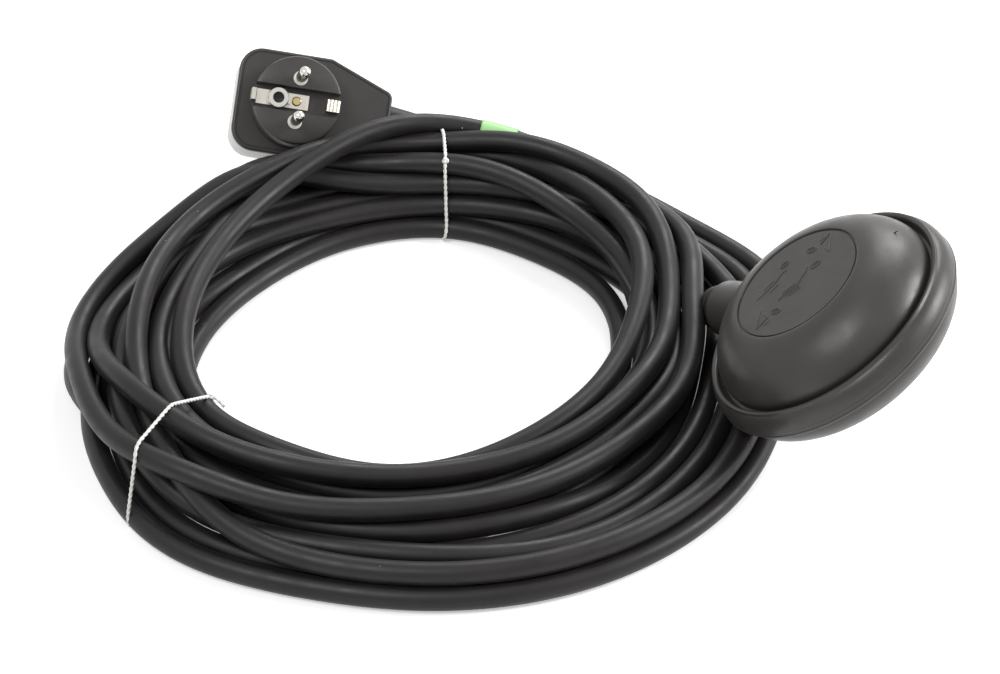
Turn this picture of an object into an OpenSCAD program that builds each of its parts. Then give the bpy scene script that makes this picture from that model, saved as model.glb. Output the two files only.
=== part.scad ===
// Cable float switch: a lens-shaped float with a ball-operated microswitch,
// ten metres of coiled rubber cable, and an in-line mains plug with a socket in its back.
// The float is drawn about its own centre with the cable leaving along -X, the plug about
// the middle of its front boss with the pins along +Z, and both are then set in place.
// The origin is the middle of the coil, on the surface that it lies on.

/* [Float shell] */
// Outer radius of the float at its rim
rim_r = 54; // [52:0.5:60]
// Height of the crown above the parting plane
dome_h = 25; // [24:0.5:30]
// Width of the rim band outside the dome
rim_band = 7; // [6.5:0.25:8]
// Height above the parting plane at which the dome's shoulder ends
dome_edge_z = 12; // [10:0.5:14]
// Radius of the flat crown inside the rounded shoulder
crown_r = 30; // [28:0.5:33]
// Radius of the round plate sunk into the crown
plate_r = 27; // [20:0.5:27.5]
// Depth of the round plate
plate_depth = 0.6; // [0.3:0.1:1]
// Radius of the bead round the groove
bead_r = 1.7; // [1.3:0.1:1.8]
// Height of the bead's centre above the parting plane
bead_z = 6.2; // [5.5:0.1:6.6]
// Height of the groove's floor above the parting plane
groove_z = 4.6; // [4:0.1:5.2]
// Wall thickness of the shell
shell_wall = 3; // [2.6:0.1:3.4]
// Height of the tongue that locates one half in the other
tongue_h = 1.2; // [0.8:0.1:2]
// Thickness of the tongue
tongue_w = 1; // [0.8:0.1:1.2]
// Radius of the four bosses that hold the inner case
boss_post_r = 3.5; // [2.5:0.25:4]

/* [Cable entry] */
// Radius of the cable's jacket
cable_r = 4.5; // [4.2:0.05:4.7]
// Length of the neck outside the rim
neck_len = 12; // [10:0.5:18]
// Radius of the neck where it leaves the rim
neck_root_r = 12.5; // [12:0.25:14]
// Radius of the neck at its mouth
neck_tip_r = 11.5; // [10.5:0.25:11.8]
// Radius of the bore that holds the seal
gland_bore_r = 8; // [7.5:0.1:8.5]
// Length of the rubber seal
seal_len = 12; // [8:0.5:12.5]
// Length of the hard ring behind the seal
gland_ring_len = 4; // [3:0.5:4]
// Length of the boot outside the neck
boot_len = 12; // [10:0.5:16]
// Depth of the boot's collar inside the neck
boot_collar = 4; // [3:0.5:4]
// Radius of the boot where it leaves the neck
boot_root_r = 9.8; // [9:0.1:10.4]
// Radius of the boot at its tip
boot_tip_r = 6.6; // [6:0.1:7.5]

/* [Inner case] */
// Outer end of the inner case on the cable side
case_x0 = -42; // [-42.5:0.25:-41]
// Outer end of the inner case on the far side
case_x1 = 40; // [39:0.25:42]
// Outer width of the inner case
case_w = 40; // [38:0.5:41]
// Outer height of the inner case
case_h = 22.4; // [22:0.2:25]
// Wall thickness of the inner case
case_wall = 2; // [1.6:0.1:2.2]
// Outer corner radius of the inner case
case_corner = 10; // [9:0.5:12]
// Thickness of the flat gasket between base and lid
gasket_t = 1; // [0.6:0.1:1.4]
// Shaft radius of the case screws
case_screw_r = 1.2; // [1:0.1:1.4]
// Head radius of the case screws
case_screw_head_r = 2.2; // [2:0.1:2.6]

/* [Ball and track] */
// Radius of the steel ball
ball_r = 7; // [6:0.25:7.2]
// Travel of the ball from the lever to the far stop
ball_travel = 25; // [15:0.5:26]
// Sideways place of the track's centre line
ball_y = 0; // [-1:0.25:1]
// Wall thickness of the track
track_wall = 1.5; // [1:0.1:1.6]
// Width of the feet under and over the track
track_foot_w = 8; // [6:0.5:10]

/* [Microswitch] */
// Length of the microswitch across the float
sw_len = 27.8; // [27:0.1:29]
// Depth of the microswitch from its tabs to its plunger side
sw_depth = 15.9; // [15.5:0.1:16.3]
// Thickness of the microswitch
sw_thick = 10.3; // [10:0.1:11]
// Place of the microswitch's tab side
sw_x0 = -23; // [-23.5:0.1:-22.5]
// Wall thickness of the microswitch
sw_wall = 1.6; // [1.2:0.1:1.8]
// Thickness of the microswitch's cover
sw_cover_t = 2; // [1.5:0.1:2.4]
// Distance between the two mounting holes across the float
sw_hole_span = 22.2; // [22:0.1:22.6]
// Inset of the mounting holes from the long sides
sw_hole_inset = 2.85; // [2.7:0.05:3]
// Radius of the mounting holes
sw_hole_r = 1.6; // [1.5:0.05:1.7]
// Radius of the plunger
plunger_r = 1.2; // [1:0.1:1.5]
// Sideways place of the plunger
plunger_y = 0; // [-1:0.25:1]
// Gap between the microswitch and the pressed lever
lever_stand = 1.6; // [1.4:0.1:1.8]
// Thickness of the lever
lever_t = 0.4; // [0.3:0.05:0.5]
// Width of the lever
lever_w = 4; // [3:0.25:4]
// Distance of the lever's pin from the microswitch's middle
lever_pin_y = 11.5; // [11:0.1:12]
// Radius of the lever's pin
lever_pin_r = 0.6; // [0.5:0.05:0.7]
// Place of the lever's free end across the float
lever_tip_y = 6; // [4.5:0.25:6]
// Distance between the connection tabs
tab_pitch = 6.5; // [6.2:0.1:6.8]
// Free length of the connection tabs
tab_len = 7; // [6:0.25:7.5]
// Width of the connection tabs
tab_w = 4.8; // [4:0.1:5]
// Thickness of the connection tabs
tab_t = 0.8; // [0.5:0.1:0.8]
// Radius of the insulated cores
core_r = 1.3; // [1:0.05:1.4]

/* [Plug] */
// Radius of the plug's pins
pin_r = 2.4; // [2:0.05:2.5]
// Length of the pins in front of the boss
pin_len = 19; // [17:0.5:20]
// Distance between the pins
pin_pitch = 19; // [18.5:0.1:19.5]
// Radius of the boss that enters the socket
boss_r = 19; // [18.5:0.1:19.5]
// Height of the boss above the plug's face
boss_h = 14; // [12:0.5:17]
// Width of the slot across the boss
slot_w = 12; // [11:0.25:12.5]
// Depth of the slot across the boss
slot_depth = 6; // [5:0.25:8]
// Thickness of the black front shell
face_t = 8; // [7:0.25:10]
// Thickness of the light grey back shell
back_t = 18; // [16:0.5:20]
// Width of the plug
plug_w = 45; // [44:0.5:48]
// Distance from the boss centre to the plug's round end
plug_end = 25.5; // [24:0.25:27]
// Distance from the boss centre to the cable end
plug_tail = 42; // [40:0.5:46]
// Width of the cable end
tail_w = 25; // [23:0.5:28]
// Distance from the boss centre at which the sides draw in
taper_x = 14; // [12:0.5:16]
// Corner radius of the round end
plug_corner = 10; // [8:0.5:14]
// Corner radius of the cable end
tail_corner = 3.5; // [2:0.25:5]
// Step by which the back shell lies inside the front shell's edge
back_inset = 0.6; // [0.3:0.1:0.8]
// Wall thickness of the plug's shells
plug_wall = 2.4; // [2:0.1:2.6]
// Radius of the socket well in the back
well_r = 19.8; // [19.6:0.05:20]
// Depth of the socket well
well_depth = 8; // [6:0.25:9]
// Radius of the earth sleeve's hole
earth_hole_r = 2.45; // [2.4:0.05:2.6]
// Outer radius of the earth sleeve
earth_sleeve_r = 4; // [3.6:0.1:4.2]
// Distance of the earth sleeve from the boss centre
earth_x = 8.2; // [8:0.1:10]
// Thickness of the earth strap
strap_t = 1.2; // [0.8:0.1:1.5]
// Width of the earth strap
strap_w = 10; // [9:0.25:10.5]
// Thickness of the side clips
clip_t = 0.8; // [0.6:0.1:1]
// Length of the cable boot behind the plug
plug_boot_len = 12; // [10:0.5:16]

/* [Coil] */
// Inner radius of the coil
coil_in_r = 82; // [78:1:84]
// Outer radius of the stacked turns
stack_r = 103; // [100:1:104]
// Outer radius of the single layer of loose turns
coil_out_r = 146; // [144:1:148]
// Height of the stacked turns
stack_h = 26; // [24:0.5:28]
// Height of the single layer
layer_h = 9.2; // [9:0.1:9.5]
// Thickness of the string ties
tie_t = 1.4; // [1:0.1:2]
// Width of the string ties
tie_w = 1.8; // [1.5:0.1:3]
// Length of the length tag on the free loop
tag_len = 12; // [10:0.5:16]

/* [Hidden] */
// Clearance round pieces that are pushed or screwed together
fit_gap = 0.1;
// Clearance of the ball in its track
ball_gap = 0.3;
// Running clearance of the lever on its pin
pin_gap = 0.03;
eps = 0.01;

// Where the float and the plug lie beside the coil, and how they are turned
float_pos = [155.1, -41.7, 52.3];
float_yaw = 178.1;
float_tilt = 37.3;
float_spin = 134.7;
plug_pos = [-58.4, 128, 45.5];
plug_yaw = -76.7;
plug_tilt = 49.5;
plug_spin = 73.7;
tie_front_angle = -145;
tie_back_angle = 88;

// Routes of the free stretches of cable, end to end
float_lead = [[113.3, 15.2, 19.1], [107.4, 23.2, 14.4], [101, 33, 10.5], [94, 45, 8.5], [84, 58, 8]];
plug_lead = [[-9.5, 146.6, 19.7], [2.2, 147.1, 17.1], [22, 144, 12], [42, 137, 8], [62, 126, 6], [80, 111, 5]];
top_loop = [[-94, -46, 18], [-98, -28, 27], [-98, -10, 31], [-95, 14, 32], [-88, 38, 34], [-76, 62, 36],
            [-57, 91, 38], [-36, 110, 38], [-6, 122, 38], [20, 124, 36], [45, 117, 32], [70, 104, 24],
            [87, 88, 15], [97, 72, 8], [101, 56, 5]];
tag_point = 9;

// Float sizes that follow from the ones above
neck_x = rim_r + neck_len;
dome_r = rim_r - rim_band;
bead_x = rim_r - 2 * bead_r - 0.2;
tongue_x = rim_r - (shell_wall + tongue_w) / 2;
gland_x = neck_x - boot_collar - seal_len - gland_ring_len;
boot_tip_x = neck_x + boot_len;
jacket_end_x = -case_x0 - case_wall - 0.5;
boss_post_x = 24;
boss_post_y = 8;

// Inner case sizes
case_len = case_x1 - case_x0;
case_mid_x = (case_x0 + case_x1) / 2;
case_half = case_h / 2;
case_floor = case_half - case_wall;
case_post_r = case_screw_r + 1.4;
case_post_y = case_w / 2 - case_wall - case_post_r - 0.4;
case_post_x = [case_x0 + case_corner - 1.5, case_x1 - case_corner + 2];

// Microswitch, lever, ball and track
sw_front = sw_x0 + sw_depth;
sw_top = sw_thick / 2;
sw_case_top = sw_top - sw_cover_t;
sw_post_r = sw_hole_r + 1.3;
sw_holes = [[sw_x0 + sw_hole_inset, -sw_hole_span / 2], [sw_front - sw_hole_inset, sw_hole_span / 2]];
lever_back = sw_front + lever_stand;
lever_front = lever_back + lever_t;
lever_pin_x = lever_back + lever_t / 2;
curl_r = lever_pin_r + 0.5;
ball_x = lever_front + 0.05 + ball_r;
track_r = ball_r + ball_gap;
track_x0 = lever_front + lever_stand;
track_x1 = ball_x + ball_travel + ball_r + ball_gap;
blade_x = sw_x0 + sw_depth / 2 + 0.5;
blade_t = 0.3;
tabs_y = [-tab_pitch, 0, tab_pitch];
receptacle_l = tab_len - 0.4;
barrel_l = 4.5;
receptacle_x0 = sw_x0 - tab_len - 0.6;

// Plug sizes
face_z = -boss_h;
seam_z = face_z - face_t;
back_z = seam_z - back_t;
strap_z = -slot_depth;
shank_r = pin_r + 0.7;
shank_end = seam_z - 3;
sleeve_r = pin_r + 1.1;
sleeve_top = shank_end - 0.2;
well_z = back_z + well_depth;
tail_z = seam_z;
grip_x = plug_tail - 9;

// Every solid that the model is made of

rubber = [0.16, 0.16, 0.17];
moulded = [0.2, 0.2, 0.21];
nickel = [0.8, 0.79, 0.75];
brass = [0.78, 0.62, 0.3];
pale_grey = [0.78, 0.78, 0.76];

// Points along an arc, from one angle to another
function arc(cx, cy, rx, ry, from, to, steps) =
    [for (i = [0:steps]) let (a = from + (to - from) * i / steps) [cx + rx * cos(a), cy + ry * sin(a)]];

// Direction of a route at point i, from its neighbours
function heading(route, i) =
    let (d = route[min(i + 1, len(route) - 1)] - route[max(i - 1, 0)]) d / norm(d);

// Round tube swept along a route, with one ring of corners at each point
module sweep_tube(route, r, sides = 10) {
    count = len(route);
    points = [for (i = [0:count - 1])
        let (t = heading(route, i), a = cross([0, 0, 1], t) / norm(cross([0, 0, 1], t)), b = cross(t, a))
            for (k = [0:sides - 1]) let (q = 360 * k / sides) route[i] + r * (cos(q) * a + sin(q) * b)];
    walls = [for (i = [0:count - 2]) for (k = [0:sides - 1])
        let (n = (k + 1) % sides)
            [i * sides + k, (i + 1) * sides + k, (i + 1) * sides + n, i * sides + n]];
    first_end = [for (k = [0:sides - 1]) k];
    last_end = [for (k = [sides - 1:-1:0]) (count - 1) * sides + k];
    polyhedron(points, concat(walls, [first_end, last_end]));
}

// Cylinder along the X axis between two places
module x_rod(x0, x1, r, fn = 48) {
    translate([x0, 0, 0]) rotate([0, 90, 0]) cylinder(r = r, h = x1 - x0, $fn = fn);
}

module x_cone(x0, x1, r0, r1, fn = 64) {
    translate([x0, 0, 0]) rotate([0, 90, 0]) cylinder(r1 = r0, r2 = r1, h = x1 - x0, $fn = fn);
}

// Square-based block between two corners
module block(low, high) {
    translate(low) cube(high - low);
}

// Rectangle with true round corners
module round_rect(x0, x1, w, r) {
    union() {
        translate([x0 + r, -w / 2]) square([x1 - x0 - 2 * r, w]);
        translate([x0, -w / 2 + r]) square([x1 - x0, w - 2 * r]);
        for (x = [x0 + r, x1 - r], y = [-1, 1])
            translate([x, y * (w / 2 - r)]) circle(r = r, $fn = 48);
    }
}

module place_float() {
    translate(float_pos) rotate([0, float_tilt, float_yaw]) rotate([0, 0, float_spin]) children();
}

module place_plug() {
    translate(plug_pos) rotate([0, plug_tilt, plug_yaw]) rotate([0, 0, plug_spin]) children();
}

// Outer section of one half of the float: crown, shoulder, groove, bead and rim
shell_outline = concat(
    [[0, 0], [0, dome_h - plate_depth], [plate_r, dome_h - plate_depth], [plate_r, dome_h]],
    arc(crown_r, dome_edge_z, dome_r - crown_r, dome_h - dome_edge_z, 90, 0, 9),
    [[dome_r - 1, groove_z + 2], [dome_r - 0.6, groove_z]],
    arc(bead_x, bead_z, bead_r, bead_r, 190, 0, 9),
    arc(rim_r - 2.5, 2.5, 2.5, 2.8, 75, 0, 4),
    [[rim_r, 0]]);

// Hollow of one half
shell_hollow = concat(
    [[0, -eps], [0, dome_h - shell_wall - plate_depth]],
    arc(crown_r, dome_edge_z - shell_wall, dome_r - shell_wall - crown_r, dome_h - dome_edge_z, 90, 0, 7),
    [[dome_r - shell_wall, groove_z - shell_wall], [rim_r - shell_wall, groove_z - shell_wall],
     [rim_r - shell_wall, -eps]]);

// Bore of the neck, with a step that stops the hard ring
module neck_bore() {
    x_rod(-neck_x - 1, -gland_x, gland_bore_r);
    x_rod(-gland_x - eps, -dome_r + 2 * shell_wall, cable_r + 0.6);
}

// One half of the float, seen from the parting plane up
module shell_half() {
    difference() {
        union() {
            rotate_extrude($fn = 120) polygon(shell_outline);
            intersection() {
                x_cone(-neck_x, -dome_r + 1, neck_tip_r, neck_root_r);
                translate([-neck_x - 1, -neck_root_r - 1, 0]) cube([neck_x, 2 * neck_root_r + 2, neck_root_r + 1]);
            }
        }
        rotate_extrude($fn = 96) polygon(shell_hollow);
        neck_bore();
    }
    for (x = [-1, 1], y = [-1, 1])
        translate([x * boss_post_x, y * boss_post_y, case_half])
            cylinder(r = boss_post_r, h = dome_h - shell_wall / 2 - plate_depth - case_half, $fn = 32);
}

module tongue_ring(gap) {
    rotate_extrude($fn = 96)
        translate([tongue_x - gap, -tongue_h - gap]) square([tongue_w + 2 * gap, tongue_h + gap + eps]);
}

module float_shell_top() {
    color(moulded) place_float() {
        shell_half();
        difference() {
            tongue_ring(0);
            neck_bore();
        }
    }
}

module float_shell_bottom() {
    color(moulded) place_float() difference() {
        mirror([0, 0, 1]) shell_half();
        tongue_ring(fit_gap);
    }
}

module cable_boot() {
    color(rubber) place_float() difference() {
        union() {
            x_rod(-neck_x - eps, -neck_x + boot_collar, gland_bore_r - fit_gap);
            x_cone(-boot_tip_x, -neck_x, boot_tip_r, boot_root_r);
            for (i = [0:2])
                translate([-neck_x - 2.5 - 3 * i, 0, 0]) rotate([0, 90, 0])
                    cylinder(r = boot_root_r + 0.3 - 0.8 * i, h = 1.4, center = true, $fn = 48);
        }
        x_rod(-boot_tip_x - 1, 0, cable_r + fit_gap);
    }
}

module cable_seal() {
    color("dimgray") place_float() difference() {
        x_rod(-neck_x + boot_collar, -gland_x - gland_ring_len, gland_bore_r - fit_gap);
        x_rod(-neck_x, 0, cable_r + fit_gap);
    }
}

module gland_ring() {
    color(pale_grey) place_float() difference() {
        x_rod(-gland_x - gland_ring_len, -gland_x, gland_bore_r - fit_gap);
        x_rod(-neck_x, 0, cable_r + fit_gap);
    }
}

// Jacketed end of the cable, from the boot's tip into the inner case
module cable_tail() {
    color(rubber) place_float() x_rod(-boot_tip_x, -jacket_end_x, cable_r);
}

// One half of the inner case: a tray with four screw posts, hanging from the gasket plane
module case_tray(screw_hole_r) {
    difference() {
        union() {
            difference() {
                translate([0, 0, -case_half]) linear_extrude(case_half - gasket_t / 2)
                    round_rect(case_x0, case_x1, case_w, case_corner);
                translate([0, 0, -case_floor]) linear_extrude(case_half)
                    round_rect(case_x0 + case_wall, case_x1 - case_wall, case_w - 2 * case_wall,
                               case_corner - case_wall);
            }
            for (x = case_post_x, y = [-1, 1])
                translate([x, y * case_post_y, -case_floor - eps])
                    cylinder(r = case_post_r, h = case_floor - gasket_t / 2 + eps, $fn = 32);
        }
        for (x = case_post_x, y = [-1, 1])
            translate([x, y * case_post_y, -case_half - 1]) cylinder(r = screw_hole_r, h = case_h, $fn = 32);
        x_rod(case_x0 - 1, case_x0 + case_wall + 1, cable_r + fit_gap);
    }
}

module case_base() {
    color("ivory") place_float() {
        difference() {
            case_tray(case_screw_r + 0.05);
            for (x = case_post_x, y = [-1, 1])
                translate([x, y * case_post_y, -case_half - 1]) cylinder(r = case_screw_r + 1, h = 0.5, $fn = 32);
        }
        for (p = sw_holes)
            translate([p[0], p[1], 0]) {
                translate([0, 0, -case_floor - eps])
                    cylinder(r = sw_post_r, h = case_floor - sw_top + eps, $fn = 32);
                translate([0, 0, -sw_top - eps]) cylinder(r = sw_hole_r - fit_gap, h = sw_thick - 1, $fn = 32);
            }
    }
}

module case_lid() {
    color("ivory") place_float() {
        mirror([0, 0, 1]) case_tray(case_screw_r + fit_gap);
        for (p = sw_holes)
            translate([p[0], p[1], sw_top]) cylinder(r = sw_post_r, h = case_floor - sw_top + eps, $fn = 32);
    }
}

module case_gasket() {
    color("orangered") place_float() difference() {
        translate([0, 0, -gasket_t / 2]) linear_extrude(gasket_t)
            round_rect(case_x0, case_x1, case_w, case_corner);
        translate([0, 0, -gasket_t]) linear_extrude(2 * gasket_t)
            round_rect(case_x0 + case_wall, case_x1 - case_wall, case_w - 2 * case_wall,
                       case_corner - case_wall);
        x_rod(case_x0 - 1, case_x0 + case_wall + 1, cable_r + fit_gap);
    }
}

// Pan-head screw that pulls the lid on to the base
module case_screw(x, y) {
    color(nickel) place_float() translate([x, y, 0]) {
        translate([0, 0, 3 - case_floor]) cylinder(r = case_screw_r, h = case_floor + case_half - 3, $fn = 32);
        difference() {
            translate([0, 0, case_half]) cylinder(r = case_screw_head_r, h = 1.6, $fn = 32);
            block([-2, -0.3, case_half + 0.9], [2, 0.3, case_half + 2]);
            block([-0.3, -2, case_half + 0.9], [0.3, 2, case_half + 2]);
        }
    }
}

module case_screw_1() { case_screw(case_post_x[0], -case_post_y); }
module case_screw_2() { case_screw(case_post_x[0], case_post_y); }
module case_screw_3() { case_screw(case_post_x[1], -case_post_y); }
module case_screw_4() { case_screw(case_post_x[1], case_post_y); }

// Closed tube that the ball rolls in, open towards the lever, held between base and lid
module ball_track() {
    color("whitesmoke") place_float() translate([0, ball_y, 0]) difference() {
        union() {
            x_rod(track_x0, track_x1 + track_wall, track_r + track_wall, 64);
            block([track_x0 + 6, -track_foot_w / 2, -case_floor], [track_x1 - 2, track_foot_w / 2, case_floor]);
        }
        x_rod(track_x0 - 1, track_x1, track_r, 64);
    }
}

module switch_ball() {
    color(nickel) place_float() translate([ball_x, ball_y, 0]) sphere(r = ball_r, $fn = 64);
}

// Open box of the microswitch, with bossed mounting holes and ears for the lever's pin
module microswitch_case() {
    color("saddlebrown") place_float() difference() {
        union() {
            difference() {
                block([sw_x0, -sw_len / 2, -sw_top], [sw_front, sw_len / 2, sw_case_top]);
                block([sw_x0 + sw_wall, -sw_len / 2 + sw_wall, -sw_top + sw_wall],
                      [sw_front - sw_wall, sw_len / 2 - sw_wall, sw_case_top + 1]);
            }
            for (p = sw_holes)
                translate([p[0], p[1], -sw_top + eps])
                    cylinder(r = sw_hole_inset - eps, h = sw_case_top + sw_top - eps, $fn = 32);
            for (z = [lever_w / 2 + 0.1, -lever_w / 2 - 1.1])
                block([sw_front - eps, -lever_pin_y - 1.2, z], [lever_pin_x + 1.2, -lever_pin_y + 1.2, z + 1]);
        }
        for (p = sw_holes)
            translate([p[0], p[1], -sw_thick]) cylinder(r = sw_hole_r, h = 2 * sw_thick, $fn = 32);
        translate([lever_pin_x, -lever_pin_y, -sw_thick]) cylinder(r = lever_pin_r, h = 2 * sw_thick, $fn = 24);
        translate([0, plunger_y, 0]) x_rod(sw_front - sw_wall - 1, sw_front + 1, plunger_r + fit_gap, 32);
        for (y = tabs_y)
            block([sw_x0 - 1, y - tab_t / 2, -tab_w / 2], [sw_x0 + sw_wall + eps, y + tab_t / 2, sw_case_top + 1]);
    }
}

module microswitch_cover() {
    color("peru") place_float() difference() {
        union() {
            block([sw_x0, -sw_len / 2, sw_case_top], [sw_front, sw_len / 2, sw_top]);
            for (y = tabs_y)
                block([sw_x0 + 0.2, y - tab_t / 2, tab_w / 2],
                      [sw_x0 + sw_wall - 0.2, y + tab_t / 2, sw_case_top + eps]);
        }
        for (p = sw_holes)
            translate([p[0], p[1], 0]) cylinder(r = sw_hole_r, h = sw_thick, $fn = 32);
    }
}

module switch_plunger() {
    color("crimson") place_float() translate([0, plunger_y, 0]) {
        x_rod(blade_x + blade_t + 0.1, lever_back - 0.6, plunger_r, 32);
        x_cone(lever_back - 0.6 - eps, lever_back - 0.05, plunger_r, plunger_r - 0.5, 32);
        x_rod(blade_x + blade_t + 0.1, blade_x + blade_t + 0.9, plunger_r + 0.7, 32);
    }
}

// Sheet lever with a curled eye round its pin and a turned-up tip
module switch_lever() {
    color("silver") place_float() difference() {
        union() {
            block([lever_back, -lever_pin_y + curl_r - 0.3, -lever_w / 2], [lever_front, lever_tip_y, lever_w / 2]);
            translate([lever_pin_x, -lever_pin_y, -lever_w / 2]) cylinder(r = curl_r, h = lever_w, $fn = 32);
        }
        translate([lever_pin_x, -lever_pin_y, -lever_w])
            cylinder(r = lever_pin_r + pin_gap, h = 2 * lever_w, $fn = 24);
    }
}

module lever_pin() {
    color("dimgray") place_float() translate([lever_pin_x, -lever_pin_y, -lever_w / 2 - 1.1])
        cylinder(r = lever_pin_r, h = lever_w + 2.2, $fn = 24);
}

// Spring blade that carries the moving contact, from the common terminal across the case
module contact_blade() {
    color(brass) place_float() {
        block([blade_x, -tab_pitch - 1.5, -1.6], [blade_x + blade_t, tab_pitch + 1, 1.6]);
        translate([0, tab_pitch, 0]) x_rod(blade_x - 0.6, blade_x + eps, 1.3, 32);
    }
}

// Connection tab with its inner contact bar; reach is where the bar ends inside
module terminal(y, reach) {
    color(brass) place_float() difference() {
        block([sw_x0 - tab_len, y - tab_t / 2, -tab_w / 2], [reach, y + tab_t / 2, tab_w / 2]);
        translate([sw_x0 - tab_len / 2 - 0.5, y, 0]) rotate([90, 0, 0])
            cylinder(r = 0.7, h = 2, center = true, $fn = 24);
    }
}

module terminal_common() { terminal(tabs_y[0], blade_x); }
module terminal_closed() { terminal(tabs_y[1], blade_x - 3); }
module terminal_open() { terminal(tabs_y[2], blade_x - 0.6); }

// Push-on receptacle: a box round the tab and a crimp barrel round the core
module receptacle(y) {
    color(nickel) place_float() translate([0, y, 0]) {
        difference() {
            block([receptacle_x0, -tab_t / 2 - 0.6, -tab_w / 2 - 0.7],
                  [sw_x0 - 0.4, tab_t / 2 + 0.6, tab_w / 2 + 0.7]);
            block([receptacle_x0 + 0.5, -tab_t / 2, -tab_w / 2], [sw_x0, tab_t / 2, tab_w / 2]);
        }
        difference() {
            x_rod(receptacle_x0 - barrel_l + 1, receptacle_x0 + eps, core_r + 0.6, 32);
            x_rod(receptacle_x0 - barrel_l, receptacle_x0 - 0.5, core_r, 32);
        }
    }
}

module receptacle_common() { receptacle(tabs_y[0]); }
module receptacle_open() { receptacle(tabs_y[2]); }

// Core from the end of the jacket to its barrel
module core(y, z, end_y, end_x) {
    place_float() sweep_tube([[-jacket_end_x, y, z], [-jacket_end_x + 1.8, y, z],
                             [receptacle_x0 - barrel_l - 0.4, end_y, 0], [end_x, end_y, 0]], core_r, 8);
}

module core_brown() { color("saddlebrown") core(-1.6, -1, tabs_y[0], receptacle_x0 - 0.5); }
module core_blue() { color("royalblue") core(1.6, -1, tabs_y[2], receptacle_x0 - 0.5); }

// Earth core, not used in the plastic float: cut short under an insulating cap
module core_earth() {
    color("yellowgreen") place_float() sweep_tube([[-jacket_end_x, 0, 2], [-jacket_end_x + 1.6, 0, 2],
                                                  [-jacket_end_x + 4.5, 0, 5], [-jacket_end_x + 8, 0, 5]], core_r, 8);
}

module core_end_cap() {
    color("ivory") place_float() translate([-jacket_end_x + 8, 0, 5]) difference() {
        x_rod(-2.2, 1, core_r + 0.8, 32);
        x_rod(-3, 0, core_r + 0.02, 32);
    }
}

// Outline of the plug: a round-cornered body that draws in towards the cable
module plug_outline(inset) {
    half = plug_w / 2 - inset;
    tail = tail_w / 2 - inset;
    corner = plug_corner - inset;
    end_r = max(tail_corner - inset, 1);
    near_x = -plug_end + inset + corner;
    far_x = plug_tail - inset - end_r;
    polygon(concat(
        arc(near_x, half - corner, corner, corner, 180, 90, 8),
        [[taper_x, half]],
        arc(far_x, tail - end_r, end_r, end_r, 70, 0, 4),
        arc(far_x, end_r - tail, end_r, end_r, 0, -70, 4),
        [[taper_x, -half]],
        arc(near_x, corner - half, corner, corner, -90, -180, 8)));
}

// Black shell: plate, boss with its slot, and bores for the pins and the earth sleeve
module plug_front() {
    color(moulded) place_plug() difference() {
        union() {
            translate([0, 0, seam_z]) linear_extrude(face_t) plug_outline(0);
            translate([0, 0, face_z - eps]) cylinder(r = boss_r, h = boss_h + eps, $fn = 96);
        }
        block([-boss_r - 1, -slot_w / 2, -slot_depth], [boss_r + 1, slot_w / 2, 1]);
        translate([0, 0, seam_z - eps]) linear_extrude(face_t - plug_wall) plug_outline(plug_wall);
        for (y = [-1, 1])
            translate([0, y * pin_pitch / 2, seam_z]) cylinder(r = shank_r + 0.05, h = 2 * boss_h + face_t, $fn = 48);
        translate([-earth_x, 0, seam_z]) cylinder(r = earth_sleeve_r + 0.05, h = 2 * boss_h, $fn = 48);
        for (x = [-1, 1])
            block([x * (boss_r + 0.4) - 1.6, -strap_w / 2 - 0.2, face_z - 1],
                  [x * (boss_r + 0.4) + 1.6, strap_w / 2 + 0.2, 0]);
        translate([0, 0, tail_z]) x_rod(grip_x, plug_tail + 1, cable_r + 1.6);
    }
}

// Light grey shell: deep body with the socket well, holes over the sleeves, and a shallow tail
module plug_back() {
    color(pale_grey) place_plug() difference() {
        translate([0, 0, back_z]) linear_extrude(back_t) plug_outline(back_inset);
        translate([0, 0, well_z + plug_wall]) linear_extrude(back_t) plug_outline(plug_wall + back_inset);
        translate([0, 0, back_z - 1]) cylinder(r = well_r, h = well_depth + 1, $fn = 96);
        for (y = [-1, 1])
            translate([0, y * pin_pitch / 2, back_z]) cylinder(r = sleeve_r + 0.05, h = back_t, $fn = 48);
        for (x = [-1, 1])
            block([x * 17 - 1.2, -3.6, well_z - 1], [x * 17 + 1.2, 3.6, well_z + plug_wall + 1]);
        translate([0, 0, tail_z]) x_rod(grip_x, plug_tail + 1, cable_r + 1.6);
    }
}

// Round-tipped pin with a thicker shank that ends in the plug's hollow
module plug_pin(y) {
    color(nickel) place_plug() translate([0, y, 0]) {
        cylinder(r = pin_r, h = pin_len - pin_r, $fn = 48);
        translate([0, 0, pin_len - pin_r]) sphere(r = pin_r, $fn = 48);
        translate([0, 0, shank_end]) cylinder(r = shank_r, h = -shank_end, $fn = 48);
    }
}

module plug_pin_1() { plug_pin(pin_pitch / 2); }
module plug_pin_2() { plug_pin(-pin_pitch / 2); }

// Strap on the slot's floor, with holes for the sleeve and the rivet
module earth_strap() {
    color(nickel) place_plug() difference() {
        block([-boss_r + 1.4, -strap_w / 2, strap_z], [boss_r - 1.4, strap_w / 2, strap_z + strap_t]);
        translate([-earth_x, 0, strap_z - 1]) cylinder(r = earth_sleeve_r + 0.05, h = 4, $fn = 48);
        translate([0, 0, strap_z - 1]) cylinder(r = 1.2, h = 4, $fn = 32);
    }
}

module earth_sleeve() {
    color(nickel) place_plug() translate([-earth_x, 0, 0]) difference() {
        translate([0, 0, seam_z + 1]) cylinder(r = earth_sleeve_r, h = -seam_z - 1.5, $fn = 48);
        translate([0, 0, seam_z]) cylinder(r = earth_hole_r, h = 2 - seam_z, $fn = 48);
    }
}

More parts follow.
